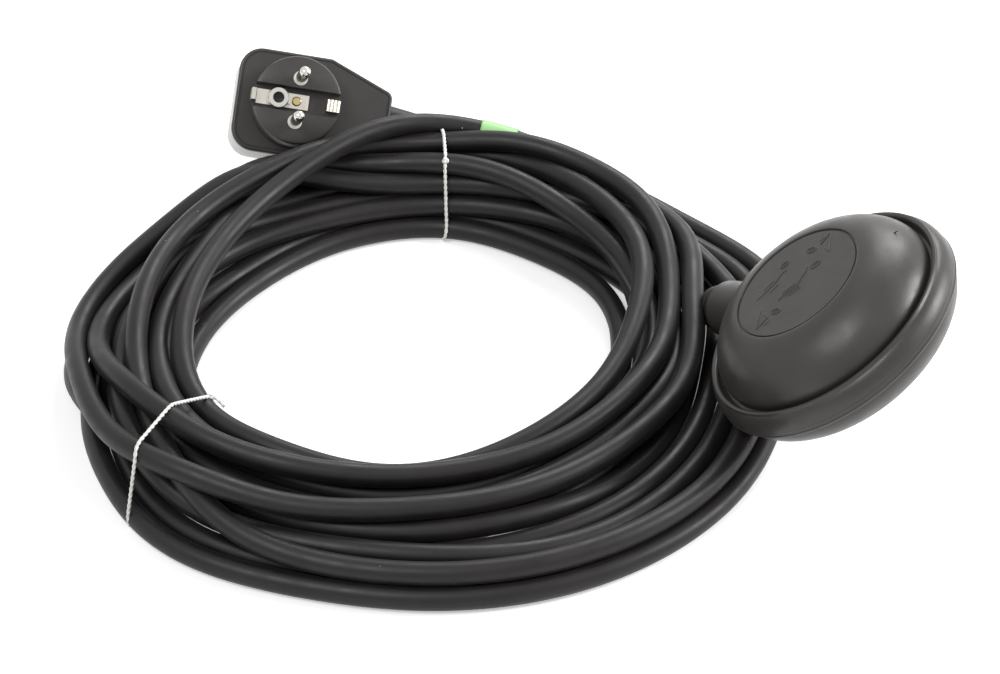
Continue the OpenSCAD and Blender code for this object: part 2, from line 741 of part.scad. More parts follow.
module earth_rivet() {
    color(brass) place_plug() {
        translate([0, 0, strap_z]) cylinder(r = 1.15, h = strap_t + eps, $fn = 32);
        translate([0, 0, strap_z + strap_t]) cylinder(r1 = 2.1, r2 = 1.6, h = 0.7, $fn = 32);
    }
}

// Bowed side contact: up from the strap's end, out over the boss edge and down its side
module earth_clip(side) {
    inner = boss_r - 1.4;
    color(nickel) place_plug() mirror([side < 0 ? 1 : 0, 0, 0]) rotate([90, 0, 0])
        linear_extrude(strap_w - 0.6, center = true)
            polygon(concat(
                [[inner, strap_z], [inner, -2.4]],
                arc(inner + 1.2, -2.4, 1.2, 1.6, 180, 20, 6),
                [[boss_r + 1.1, face_z / 2], [boss_r + 0.2, face_z + 0.5], [boss_r - 0.6, face_z + 0.5],
                 [boss_r + 0.3, face_z / 2], [inner + clip_t + 0.4, -2.4], [inner + clip_t, -2.8],
                 [inner + clip_t, strap_z]]));
}

module earth_clip_left() { earth_clip(-1); }
module earth_clip_right() { earth_clip(1); }

// Contact sleeve behind one hole of the back socket
module socket_sleeve(y) {
    color(brass) place_plug() translate([0, y, 0]) difference() {
        translate([0, 0, well_z + 0.4]) cylinder(r = sleeve_r, h = sleeve_top - well_z - 0.4, $fn = 48);
        translate([0, 0, well_z]) cylinder(r = pin_r + 0.06, h = sleeve_top - well_z - 1, $fn = 48);
    }
}

module socket_sleeve_1() { socket_sleeve(pin_pitch / 2); }
module socket_sleeve_2() { socket_sleeve(-pin_pitch / 2); }

// Earth finger that stands in the socket well
module socket_earth(side) {
    color(nickel) place_plug() mirror([side < 0 ? 1 : 0, 0, 0])
        block([17 - clip_t / 2, -3.4, back_z + 1.5], [17 + clip_t / 2, 3.4, seam_z - 0.5]);
}

module socket_earth_1() { socket_earth(-1); }
module socket_earth_2() { socket_earth(1); }

// Split bush that clamps the jacket between the two shells
module cord_grip() {
    color(pale_grey) place_plug() translate([0, 0, tail_z]) difference() {
        x_rod(grip_x, plug_tail - 1.5, cable_r + 1.5);
        x_rod(grip_x - 1, plug_tail, cable_r + fit_gap);
    }
}

module plug_boot() {
    color(rubber) place_plug() translate([0, 0, tail_z]) difference() {
        union() {
            x_rod(plug_tail - 1.5, plug_tail + eps, cable_r + 1.5);
            x_cone(plug_tail, plug_tail + plug_boot_len, cable_r + 3, cable_r + 1.4);
        }
        x_rod(grip_x, plug_tail + plug_boot_len + 1, cable_r + fit_gap);
    }
}

// Jacketed end of the cable, from the boot's tip through the grip
module plug_cable_end() {
    color(rubber) place_plug() translate([0, 0, tail_z]) x_rod(grip_x - 2, plug_tail + plug_boot_len, cable_r);
}

// Core inside the plug, from the jacket's end to the contact that it is soldered to
module plug_core(y, z, bend, end) {
    place_plug() translate([0, 0, tail_z])
        sweep_tube([[grip_x - 2, y, z], [grip_x - 5, y, z], bend, end], core_r, 8);
}

module plug_core_brown() {
    color("saddlebrown") plug_core(1.7, -1, [pin_pitch / 2 + 2, pin_pitch / 2, -1], [shank_r, pin_pitch / 2, -1]);
}

module plug_core_blue() {
    color("royalblue") plug_core(-1.7, -1, [pin_pitch / 2 + 2, -pin_pitch / 2, -1], [shank_r, -pin_pitch / 2, -1]);
}

module plug_core_earth() {
    color("yellowgreen") plug_core(0, 2, [earth_sleeve_r + 2, 0, 2], [earth_sleeve_r - earth_x, 0, 2]);
}

// Section of the coil: stacked turns inside, one loose layer outside, grown by g above the height low
function coil_section(g, low) = concat(
    [[coil_in_r - g, low], [coil_in_r - g, stack_h - 6]],
    arc(coil_in_r + 5, stack_h - 5, 5 + g, 5 + g, 165, 95, 3),
    arc(stack_r - 6, stack_h - 6, 6 + g, 6 + g, 85, 5, 4),
    [[stack_r + g, layer_h + g + 1], [stack_r + g + 1, layer_h + g]],
    arc(coil_out_r - layer_h / 2, layer_h / 2, layer_h / 2 + g, layer_h / 2 + g, 90, 0, 5),
    [[coil_out_r + g, low]]);

module cable_coil() {
    color(rubber) difference() {
        rotate_extrude($fn = 120) polygon(coil_section(0, 0));
        for (a = [tie_front_angle, tie_back_angle])
            rotate([0, 0, a]) block([coil_in_r - 5, -tie_w / 2 - fit_gap, -1],
                                    [coil_out_r + 5, tie_w / 2 + fit_gap, tie_t + 2 * fit_gap]);
    }
}

module cable_float_lead() {
    color(rubber) sweep_tube(float_lead, cable_r);
}

module cable_plug_lead() {
    color(rubber) sweep_tube(plug_lead, cable_r);
}

module cable_top_loop() {
    color(rubber) sweep_tube(top_loop, cable_r);
}

// String tied round the section of the coil
module tie(angle) {
    color("white") rotate([90, 0, angle]) translate([0, 0, -tie_w / 2]) linear_extrude(tie_w)
        difference() {
            polygon(coil_section(tie_t + fit_gap, fit_gap));
            polygon(coil_section(fit_gap, fit_gap + tie_t));
        }
}

module tie_front() { tie(tie_front_angle); }
module tie_back() { tie(tie_back_angle); }

// Sleeve on the free loop that bears the length mark
module length_tag() {
    d = heading(top_loop, tag_point);
    color("mediumseagreen") translate(top_loop[tag_point])
        rotate([0, acos(d[2]), atan2(d[1], d[0])]) difference() {
            cylinder(r = cable_r + 0.7, h = tag_len, center = true, $fn = 48);
            cylinder(r = cable_r + 0.1, h = tag_len + 1, center = true, $fn = 48);
        }
}

float_shell_top();
float_shell_bottom();
cable_boot();
cable_seal();
gland_ring();
cable_tail();
case_base();
case_lid();
case_gasket();
case_screw_1();
case_screw_2();
case_screw_3();
case_screw_4();
ball_track();
switch_ball();
microswitch_case();
microswitch_cover();
switch_plunger();
switch_lever();
lever_pin();
contact_blade();
terminal_common();
terminal_closed();
terminal_open();
receptacle_common();
receptacle_open();
core_brown();
core_blue();
core_earth();
core_end_cap();
plug_front();
plug_back();
plug_pin_1();
plug_pin_2();
earth_strap();
earth_sleeve();
earth_rivet();
earth_clip_left();
earth_clip_right();
socket_sleeve_1();
socket_sleeve_2();
socket_earth_1();
socket_earth_2();
cord_grip();
plug_boot();
plug_cable_end();
plug_core_brown();
plug_core_blue();
plug_core_earth();
cable_coil();
cable_float_lead();
cable_plug_lead();
cable_top_loop();
tie_front();
tie_back();
length_tag();
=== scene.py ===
# Cable float switch: the studio it stands in. A pale table under soft lamps, seen
# from above the table's front edge, as a small product is photographed.
import math

import bmesh
import bpy
import numpy as np
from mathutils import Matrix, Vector


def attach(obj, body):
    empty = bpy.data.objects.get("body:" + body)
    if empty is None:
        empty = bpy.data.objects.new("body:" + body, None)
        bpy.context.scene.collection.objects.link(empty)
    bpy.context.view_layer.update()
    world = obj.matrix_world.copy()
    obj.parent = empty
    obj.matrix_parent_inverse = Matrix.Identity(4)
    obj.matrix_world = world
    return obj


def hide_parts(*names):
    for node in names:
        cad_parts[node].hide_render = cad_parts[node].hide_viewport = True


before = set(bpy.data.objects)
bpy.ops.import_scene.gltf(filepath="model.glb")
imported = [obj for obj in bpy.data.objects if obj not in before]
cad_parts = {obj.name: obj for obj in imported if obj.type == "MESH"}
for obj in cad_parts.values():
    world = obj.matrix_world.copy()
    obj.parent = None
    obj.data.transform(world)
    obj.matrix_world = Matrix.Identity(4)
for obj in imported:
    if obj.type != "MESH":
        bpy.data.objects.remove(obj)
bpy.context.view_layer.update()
SWITCH = "switch_on_cable"

scene = bpy.context.scene
scene.view_settings.view_transform = "Standard"

VIEW_TARGET = Vector((0.028, 0.020, 0.0))
VIEW_HEIGHT = math.radians(37.0)
VIEW_DISTANCE = 1.252
SENSOR_WIDTH = 36.0
FOCAL_LENGTH_IN_SENSORS = 3.067
lens = bpy.data.cameras.new("studio_lens")
lens.sensor_width = SENSOR_WIDTH
lens.lens = SENSOR_WIDTH * FOCAL_LENGTH_IN_SENSORS
camera = bpy.data.objects.new("studio_camera", lens)
towards_camera = Vector((0, -math.cos(VIEW_HEIGHT), math.sin(VIEW_HEIGHT)))
camera.location = VIEW_TARGET + VIEW_DISTANCE * towards_camera
camera.rotation_mode = "QUATERNION"
camera.rotation_quaternion = (-towards_camera).to_track_quat("-Z", "Y")
scene.collection.objects.link(camera)
scene.camera = camera


def soft_lamp(name, place, size, power):
    """A square lamp with a diffuser, aimed at the middle of the table."""
    lamp = bpy.data.lights.new(name, "AREA")
    lamp.size = size
    lamp.energy = power
    holder = bpy.data.objects.new(name, lamp)
    holder.location = place
    holder.rotation_mode = "QUATERNION"
    holder.rotation_quaternion = (VIEW_TARGET - Vector(place)).to_track_quat("-Z", "Y")
    scene.collection.objects.link(holder)


soft_lamp("lamp_above_left", (-0.6, -0.7, 1.4), 0.7, 12.0)
soft_lamp("lamp_right", (1.4, 0.1, 0.8), 0.7, 24.0)
soft_lamp("lamp_behind", (0.5, 1.4, 1.2), 0.8, 16.0)


def add_node(tree, kind, **settings):
    """A shader node with its sockets and settings filled in by name."""
    node = tree.nodes.new("ShaderNode" + kind)
    for name, value in settings.items():
        socket = node.inputs.get(name.replace("_", " "))
        if socket is None:
            setattr(node, name, value)
        else:
            socket.default_value = value
    return node


def seen_directly(tree):
    """1 for what the camera, a mirror or a clear piece sees, 0 for light that falls on things."""
    path = tree.nodes.new("ShaderNodeLightPath")
    first = add_node(tree, "Math", operation="MAXIMUM")
    second = add_node(tree, "Math", operation="MAXIMUM")
    tree.links.new(path.outputs["Is Camera Ray"], first.inputs[0])
    tree.links.new(path.outputs["Is Glossy Ray"], first.inputs[1])
    tree.links.new(first.outputs[0], second.inputs[0])
    tree.links.new(path.outputs["Is Transmission Ray"], second.inputs[1])
    return second.outputs[0]


SURROUND_LIGHT = 0.33
surround = bpy.data.worlds.new("white_surround")
surround.use_nodes = True
scene.world = surround
tree = surround.node_tree
level = add_node(tree, "MapRange", To_Min=SURROUND_LIGHT, To_Max=1.0)
tree.links.new(seen_directly(tree), level.inputs["Value"])
tree.links.new(level.outputs[0], tree.nodes["Background"].inputs["Strength"])
tree.nodes["Background"].inputs["Color"].default_value = (1, 1, 1, 1)

TABLE_HALF = 4.0
TABLE_GLOW = 0.42
table_corners = [(x * TABLE_HALF, y * TABLE_HALF, 0) for x, y in ((-1, -1), (1, -1), (1, 1), (-1, 1))]
table_top = bpy.data.meshes.new("table_top")
table_top.from_pydata(table_corners, [], [(0, 1, 2, 3)])
table = bpy.data.objects.new("table_top", table_top)
scene.collection.objects.link(table)
paper = bpy.data.materials.new("white_table_paper")
paper.use_nodes = True
tree = paper.node_tree
tree.nodes.remove(tree.nodes["Principled BSDF"])
card = add_node(tree, "BsdfDiffuse", Color=(0.9, 0.9, 0.9, 1))
glow = add_node(tree, "Emission", Color=(1, 1, 1, 1))
lift = add_node(tree, "MapRange", To_Min=0.0, To_Max=TABLE_GLOW)
both = tree.nodes.new("ShaderNodeAddShader")
tree.links.new(seen_directly(tree), lift.inputs["Value"])
tree.links.new(lift.outputs[0], glow.inputs["Strength"])
tree.links.new(card.outputs[0], both.inputs[0])
tree.links.new(glow.outputs[0], both.inputs[1])
tree.links.new(both.outputs[0], tree.nodes["Material Output"].inputs["Surface"])
table_top.materials.append(paper)


# The supply cable: ten metres of three-core rubber mains cable, 9 mm thick, which leaves
# the float's boot, is wound by hand into fourteen loose laps and ends in the plug.
# Each lap is laid by its radius and height at eighth turns, then settles under its weight.
CABLE_RADIUS = 0.0045
CABLE_SIDES = 18
MM = 0.001
LAP_SPACING = 0.0091
LAID_DEGREES = 6.0
SETTLING_STEP = 0.011
CABLE_STEP = 0.004
FLOAT_LEAD = [(113.3, 15.2, 19.1), (107.4, 23.2, 14.4), (101, 33, 10.5), (94, 45, 8.5)]
PLUG_LEAD = [(-9.5, 146.6, 19.7), (2.2, 147.1, 17.1), (22, 144, 12), (42, 137, 8), (62, 126, 6)]
TOP_LOOP = [
    (-94, -46, 18), (-98, -28, 27), (-98, -10, 31), (-95, 14, 32), (-88, 38, 34), (-76, 62, 36),
    (-57, 91, 38), (-36, 110, 38), (-6, 122, 38), (20, 124, 36), (45, 117, 32), (70, 104, 24), (87, 88, 15)]
TOP_LAP = 12
LAPS = [
    ((106, 112, 111.5, 112, 115.5, 111, 97, 95), (5, 5, 5, 5, 5, 5, 5, 5)),
    ((97, 103, 102.5, 105, 109, 91, 79, 77), (5, 5, 5, 13, 13, 5, 5, 5)),
    ((88, 95, 95, 104, 106.5, 101, 88, 89), (5, 5, 5, 5, 5, 5, 5, 9)),
    ((101.5, 99.5, 105, 113, 120, 103, 93, 100), (13, 13, 13, 13, 13, 13, 13, 13)),
    ((110.5, 121, 120.5, 121, 124.5, 122, 118, 114), (13, 5, 5, 5, 5, 5, 5, 5)),
    ((115, 108, 112, 119, 128, 127, 127, 123), (5, 13, 18, 21, 13, 10, 5, 5)),
    ((124, 116.5, 116, 121, 133.5, 133, 135, 130), (5, 13, 13, 13, 5, 5, 5, 5)),
    ((131, 124, 116, 108, 110, 94, 84, 90), (5, 13, 21, 21, 21, 13, 13, 13)),
    ((97, 106, 126, 136, 124, 117, 106, 105), (20, 31, 19, 7, 13, 13, 7, 6)),
    ((109, 101, 121, 137, 133, 112, 99, 106), (21, 22.5, 22, 17, 25, 20, 19, 19)),
    ((119, 111, 118, 129, 115, 92, 89, 96), (23, 22, 16, 17, 29, 22, 21, 21)),
    ((115, 116, 113, 118, 130, 138, 138, 130), (33, 33, 29, 25, 15, 12, 12, 13)),
    ((106, 122, 118, 98, 101, 84, 79, 81), (24, 37, 36, 31, 20, 17, 20, 27)),
    ((104, 118, 127, 133, 141.5, 144, 143, 138), (28, 23, 9, 5, 5, 5, 5, 5))]


def through_points(points, step):
    """Even points along a smooth curve through the given ones."""
    points = np.asarray(points, float)
    ends = np.vstack([2 * points[0] - points[1], points, 2 * points[-1] - points[-2]])
    t = np.linspace(0, 1, 24, endpoint=False)[:, None]
    drawn = []
    for i in range(1, len(ends) - 2):
        p0, p1, p2, p3 = ends[i - 1:i + 3]
        a, b, c = (math.sqrt(np.linalg.norm(q - p)) + 1e-9 for p, q in ((p0, p1), (p1, p2), (p2, p3)))
        leave = b * ((p1 - p0) / a - (p2 - p0) / (a + b) + (p2 - p1) / b)
        arrive = b * ((p2 - p1) / b - (p3 - p1) / (b + c) + (p3 - p2) / c)
        drawn.append((2 * t**3 - 3 * t**2 + 1) * p1 + (t**3 - 2 * t**2 + t) * leave
                     + (3 * t**2 - 2 * t**3) * p2 + (t**3 - t**2) * arrive)
    drawn = np.vstack(drawn + [points[-1:]])
    return evenly(drawn, step)


def evenly(points, step):
    """The same line, with its points a step apart."""
    along = np.r_[0, np.cumsum(np.linalg.norm(np.diff(points, axis=0), axis=1))]
    places = np.linspace(0, along[-1], int(round(along[-1] / step)) + 1)
    return np.stack([np.interp(places, along, points[:, k]) for k in range(3)], 1)


def between_stations(angles, values, wanted):
    """Smooth values of a radius or height at the wanted angles."""
    slope = np.gradient(values, angles)
    i = np.clip(np.searchsorted(angles, wanted) - 1, 0, len(angles) - 2)
    width = angles[i + 1] - angles[i]
    t = (wanted - angles[i]) / width
    return ((2 * t**3 - 3 * t**2 + 1) * values[i] + (t**3 - 2 * t**2 + t) * slope[i] * width
            + (3 * t**2 - 2 * t**3) * values[i + 1] + (t**3 - t**2) * slope[i + 1] * width)


def wind_laps():
    """The line as it is laid, before it settles: float lead, fourteen laps and plug lead."""
    stations = []
    for lap, (radii, heights) in enumerate(LAPS):
        for eighth in range(8):
            if lap == TOP_LAP and eighth < 4:
                continue
            stations.append((45 + 45 * eighth + 360 * lap, radii[eighth], heights[eighth]))
    for x, y, z in TOP_LOOP:
        stations.append((math.degrees(math.atan2(y, x)) % 360 + 360 * TOP_LAP, math.hypot(x, y), z))
    x, y, z = PLUG_LEAD[-1]
    stations.append((math.degrees(math.atan2(y, x)) + 360 * len(LAPS), math.hypot(x, y), z))
    angles, radii, heights = np.array(sorted(stations), float).T
    wanted = np.arange(angles[0], angles[-1], LAID_DEGREES)
    radius = between_stations(angles, radii, wanted)
    height = between_stations(angles, heights, wanted)
    turn = np.radians(wanted)
    laid = np.stack([radius * np.cos(turn), radius * np.sin(turn), height], 1)
    line = np.vstack([FLOAT_LEAD, laid[2:-1], PLUG_LEAD[::-1]]) * MM
    return through_points(line, SETTLING_STEP)


def push_apart(line, free, first, second):
    """Moves points away from stretches of cable that they lie in."""
    start = line[second]
    run = line[second + 1] - start
    offset = line[first] - start
    t = np.clip((offset * run).sum(1) / (run**2).sum(1), 0, 1)
    away = offset - t[:, None] * run
    distance = np.sqrt((away**2).sum(1)) + 1e-9
    close = distance < LAP_SPACING
    if not close.any():
        return
    i, j, t = first[close], second[close], t[close]
    push = (0.5 * (LAP_SPACING - distance[close]) / distance[close])[:, None] * away[close]
    count = len(line)
    moved = np.stack([
        np.bincount(i, push[:, k], count) - np.bincount(j, push[:, k] * (1 - t), count)
        - np.bincount(j + 1, push[:, k] * t, count) for k in range(3)], 1)
    touches = np.bincount(i, minlength=count) + np.bincount(j, 1 - t, count) + np.bincount(j + 1, t, count)
    touched = (touches > 0) & free
    line[touched] += 1.2 * moved[touched] / np.maximum(touches[touched], 1)[:, None]


SINK = 0.00012
HOLD_AS_LAID = 0.03
NEIGHBOURS = 5
LOOK_AROUND_EVERY = 8
LOOK_AROUND_REACH = LAP_SPACING + 0.009


def settle(line, rounds=150, closing=50):
    """Lets the laps sink, stiffen and come to lie beside and on each other."""
    line, laid = line.copy(), line.copy()
    count = len(line)
    free = np.ones(count, bool)
    free[:4] = free[-6:] = False
    order = np.arange(count)
    gap = order[:, None] - order[None, :-1]
    apart = np.minimum(abs(gap), abs(gap - 1)) > NEIGHBOURS
    for turn in range(rounds + closing):
        loose = turn < rounds
        ease = 0.4 if turn > 0.7 * rounds else 1.0
        if turn % LOOK_AROUND_EVERY == 0:
            middle = (line[:-1] + line[1:]) / 2
            square = (line**2).sum(1)[:, None] + (middle**2).sum(1)[None] - 2 * line @ middle.T
            first, second = np.nonzero((square < LOOK_AROUND_REACH**2) & apart)
        if loose:
            line[free, 2] -= SINK * ease
            line[free] += HOLD_AS_LAID * ease * (laid - line)[free]
        straighter = line.copy()
        straighter[2:-2] = (4 * line[1:-3] + 4 * line[3:-1] - line[:-4] - line[4:]) / 6
        line[free] += (0.5 if loose else 0.15) * (straighter - line)[free]
        for _ in range(3):
            push_apart(line, free, first, second)
            line[free, 2] = np.maximum(line[free, 2], CABLE_RADIUS)
    return line


def eased(line, passes=6):
    """The settled line without the small kinks that a stiff cable can't take."""
    line = line.copy()
    for _ in range(passes):
        straighter = (4 * line[2:-4] + 4 * line[4:-2] - line[1:-5] - line[5:-1]) / 6
        line[3:-3] += 0.5 * (straighter - line[3:-3])
    return line


def as_one_bend(points, step):
    """A line with even bends that follows the points closely, as a stiff jacket does."""
    ends = np.vstack([2 * points[0] - points[1], points, 2 * points[-1] - points[-2]])
    t = np.linspace(0, 1, 6, endpoint=False)[:, None]
    drawn = [
        ((1 - t)**3 * ends[i] + (3 * t**3 - 6 * t**2 + 4) * ends[i + 1]
         + (1 + 3 * t + 3 * t**2 - 3 * t**3) * ends[i + 2] + t**3 * ends[i + 3]) / 6
        for i in range(len(ends) - 3)]
    return evenly(np.vstack(drawn + [points[-1:]]), step)


def new_piece(name, verts, faces, slot):
    """A smooth mesh object that rides on the switch; its slot argument is not used."""
    mesh = bpy.data.meshes.new(name)
    mesh.from_pydata([tuple(v) for v in verts], [], faces)
    mesh.validate()
    mesh.polygons.foreach_set("use_smooth", [True] * len(mesh.polygons))
    piece = bpy.data.objects.new(name, mesh)
    scene.collection.objects.link(piece)
    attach(piece, SWITCH)
    return piece


def tube(points, radius, sides):
    """Rings along a line, turned as little as possible from one to the next, with closed ends."""
    points = np.asarray(points, float)
    heading = np.gradient(points, axis=0)
    heading /= np.linalg.norm(heading, axis=1)[:, None]
    side = np.cross(heading[0], (0.0, 0.0, 1.0))
    side /= np.linalg.norm(side)
    verts, faces = [], []
    turn = np.arange(sides) * 2 * math.pi / sides
    for k, point in enumerate(points):
        side = side - heading[k] * side.dot(heading[k])
        side /= np.linalg.norm(side)
        up = np.cross(heading[k], side)
        ring = point + radius * (np.cos(turn)[:, None] * side + np.sin(turn)[:, None] * up)
        verts.extend(ring.tolist())
    for k in range(len(points) - 1):
        for s in range(sides):
            a, b = k * sides + s, k * sides + (s + 1) % sides
            faces.append((a, b, b + sides, a + sides))
    faces.append(tuple(range(sides))[::-1])
    faces.append(tuple((len(points) - 1) * sides + s for s in range(sides)))
    return verts, faces


def texture_in_metres(tree, coords, scale, detail=3.0, kind="TexNoise"):
    """A noise or cell texture in the object's own metres."""
    texture = add_node(tree, kind, Scale=scale)
    if kind == "TexNoise":
        texture.inputs["Detail"].default_value = detail
    tree.links.new(coords, texture.inputs["Vector"])
    return texture


def blended(tree, amount, low, high):
    """One colour where the amount is 0 and the other where it is 1; either may be a socket."""
    mix = add_node(tree, "Mix", data_type="RGBA")
    colours = [socket for socket in mix.inputs if socket.type == "RGBA"]
    tree.links.new(amount, mix.inputs["Factor"])
    for socket, colour in zip(colours, (low, high)):
        if hasattr(colour, "is_linked"):
            tree.links.new(colour, socket)
        else:
            socket.default_value = (*colour, 1)
    return [socket for socket in mix.outputs if socket.type == "RGBA"][0]


def ranged(tree, value, low_in, high_in, low_out, high_out):
    """A value moved from one range to another and held inside it."""
    move = add_node(tree, "MapRange", From_Min=low_in, From_Max=high_in, To_Min=low_out, To_Max=high_out)
    tree.links.new(value, move.inputs["Value"])
    return move.outputs[0]


DUST_COLOUR = (0.62, 0.6, 0.56)


def moulded_finish(name, colour, roughness, grain=0.00004, grain_size=1700.0, mottle=0.18, dust=0.0,
                   sheen=0.0, worn=None, metallic=0.0, squash=(1, 1, 1), specular=0.5):
    """Rubber, plastic or metal with its grain, slow change of tone, handling marks and dust."""
    material = bpy.data.materials.new(name)
    material.use_nodes = True
    tree = material.node_tree
    shader = tree.nodes["Principled BSDF"]
    shader.inputs["Metallic"].default_value = metallic
    shader.inputs["Specular IOR Level"].default_value = specular
    if sheen:
        shader.inputs["Sheen Weight"].default_value = sheen
        shader.inputs["Sheen Roughness"].default_value = 0.5
    place = tree.nodes.new("ShaderNodeTexCoord").outputs["Object"]
    stretch = add_node(tree, "Mapping", Scale=squash)
    tree.links.new(place, stretch.inputs["Vector"])
    coords = stretch.outputs[0]
    tone = texture_in_metres(tree, place, 38.0, 4.0)
    deep = tuple(c * (1 - mottle) for c in colour)
    pale = tuple(min(1.0, c * (1 + mottle)) for c in colour)
    paint = blended(tree, ranged(tree, tone.outputs["Fac"], 0.32, 0.68, 0, 1), deep, pale)
    if worn:
        rub = texture_in_metres(tree, coords, 210.0, 5.0)
        paint = blended(tree, ranged(tree, rub.outputs["Fac"], 0.6, 0.8, 0, 0.55), paint, worn)
    if dust:
        cells = texture_in_metres(tree, place, 260.0, kind="TexVoronoi")
        chance = add_node(tree, "SeparateColor")
        tree.links.new(cells.outputs["Color"], chance.inputs[0])
        near = ranged(tree, cells.outputs["Distance"], 0.03, 0.07, 1, 0)
        some = ranged(tree, chance.outputs[0], 1 - dust, 1 - dust + 0.01, 0, 1)
        speck = add_node(tree, "Math", operation="MULTIPLY")
        tree.links.new(near, speck.inputs[0])
        tree.links.new(some, speck.inputs[1])
        paint = blended(tree, speck.outputs[0], paint, DUST_COLOUR)
    tree.links.new(paint, shader.inputs["Base Color"])
    smear = texture_in_metres(tree, coords, 120.0, 4.0)
    tree.links.new(
        ranged(tree, smear.outputs["Fac"], 0.3, 0.7, max(0.04, roughness - 0.07), roughness + 0.07),
        shader.inputs["Roughness"])
    pores = texture_in_metres(tree, coords, grain_size, 2.0)
    bump = add_node(tree, "Bump", Strength=1.0, Distance=grain)
    tree.links.new(pores.outputs["Fac"], bump.inputs["Height"])
    tree.links.new(bump.outputs[0], shader.inputs["Normal"])
    return material


def finish(piece, material):
    """Puts one material on the whole piece."""
    piece.data.materials.clear()
    piece.data.materials.append(material)


cable_path = as_one_bend(eased(settle(wind_laps())), CABLE_STEP)
cable = new_piece("supply_cable", *tube(cable_path, CABLE_RADIUS, CABLE_SIDES), "rubber_black")
jacket = moulded_finish(
    "rubber_jacket", (0.0108, 0.0092, 0.0092), 0.44, grain=0.00003, grain_size=1300, mottle=0.22,
    dust=0.05, sheen=0.02, specular=0.3)
finish(cable, jacket)
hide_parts("cable_coil", "cable_float_lead", "cable_plug_lead", "cable_top_loop")


# Two ties of white cotton string hold the coil: one round the front left, one round the back.
# Each is twisted from two strands, drawn tight round the bundle and knotted.
STRAND_RADIUS = 0.0005
STRAND_SIDES = 7
TWIST = 0.0046
STRING_STEP = 0.00045
COTTON_OFF_CABLE = 0.0009
COTTON_OFF_TABLE = 0.0009
STRING_SWAY = 0.0012


def bundle_section(inner, outer, skipped):
    """Where the laps cross the upright plane through two places: (distance, height) from the inner."""
    out = np.array([outer[0] - inner[0], outer[1] - inner[1], 0.0])
    out /= np.linalg.norm(out)
    across = np.array([-out[1], out[0], 0])
    from_inner = cable_path - (*inner, 0)
    side = from_inner @ across
    ahead = from_inner @ out
    hits = []
    for k in np.nonzero(side[:-1] * side[1:] <= 0)[0]:
        if ahead[k] > 0 and k not in skipped:
            t = side[k] / (side[k] - side[k + 1])
            point = cable_path[k] * (1 - t) + cable_path[k + 1] * t
            hits.append(((point - (*inner, 0)) @ out, point[2]))
    return out, across, hits


def taut_loop(hits):
    """The closed line that a taut string takes round the laps, as (distance, height) points."""
    turn = np.arange(40) * math.pi / 20
    reach = CABLE_RADIUS + COTTON_OFF_CABLE
    points = sorted({
        (round(r + reach * math.cos(a), 6), round(max(z + reach * math.sin(a), COTTON_OFF_TABLE), 6))
        for r, z in hits for a in turn})

    def turns_in(a, b, c):
        return (b[0] - a[0]) * (c[1] - a[1]) - (b[1] - a[1]) * (c[0] - a[0]) <= 0

    def half(points):
        kept = []
        for p in points:
            while len(kept) > 1 and turns_in(kept[-2], kept[-1], p):
                kept.pop()
            kept.append(p)
        return kept[:-1]

    return half(points) + half(points[::-1])


def add_up(*parts):
    """Several meshes as one list of points and faces."""
    verts, faces = [], []
    for v, f in parts:
        faces += [tuple(i + len(verts) for i in face) for face in f]
        verts += list(v)
    return verts, faces


def twisted_string(line):
    """Two strands wound round each other along a line."""
    line = evenly(np.asarray(line, float), STRING_STEP)
    heading = np.gradient(line, axis=0)
    heading /= np.linalg.norm(heading, axis=1)[:, None]
    side = np.cross(heading, (0.31, 0.87, 0.38))
    side /= np.linalg.norm(side, axis=1)[:, None]
    up = np.cross(heading, side)
    strands = []
    for strand in (0, math.pi):
        turn = np.arange(len(line)) * STRING_STEP / TWIST * 2 * math.pi + strand
        offset = STRAND_RADIUS * 0.55 * (np.cos(turn)[:, None] * side + np.sin(turn)[:, None] * up)
        strands.append(tube(line + offset, STRAND_RADIUS, STRAND_SIDES))
    return add_up(*strands)


KNOT_SIZE = 0.00033
KNOT_OFF_STRING = 0.0006


def overhand_knot(spot, out, across):
    """A small pulled overhand knot that sits on the string."""
    t = np.linspace(0, 2 * math.pi, 60, endpoint=False)
    up = np.cross(out, across)
    loop = KNOT_SIZE * np.stack(
        [np.sin(t) + 2 * np.sin(2 * t), np.cos(t) - 2 * np.cos(2 * t), -np.sin(3 * t)], 1)
    middle = spot + out * KNOT_OFF_STRING
    points = middle + loop[:, :1] * across + loop[:, 1:2] * up + loop[:, 2:] * out
    return tube(np.vstack([points, points[:2]]), STRAND_RADIUS * 1.3, 8)


def loose_end(spot, out, across, reach):
    """A short tail of string that leaves the knot to one side and lies down on the coil."""
    steps = np.linspace(0, 1, 14)[:, None]
    along = np.cross(out, across)
    return twisted_string(
        spot + out * (0.0012 - 0.0008 * steps) + across * reach * steps + along * 0.003 * steps**2)


cotton = moulded_finish(
    "white_cotton_string", (0.82, 0.81, 0.78), 0.85, grain=0.00005, grain_size=2600, mottle=0.06,
    sheen=0.3)
top_loop_middle = int(np.argmin(np.linalg.norm(cable_path - np.array(TOP_LOOP[8]) * MM, axis=1)))
TOP_LOOP_STRETCH = range(top_loop_middle - 12, top_loop_middle + 13)
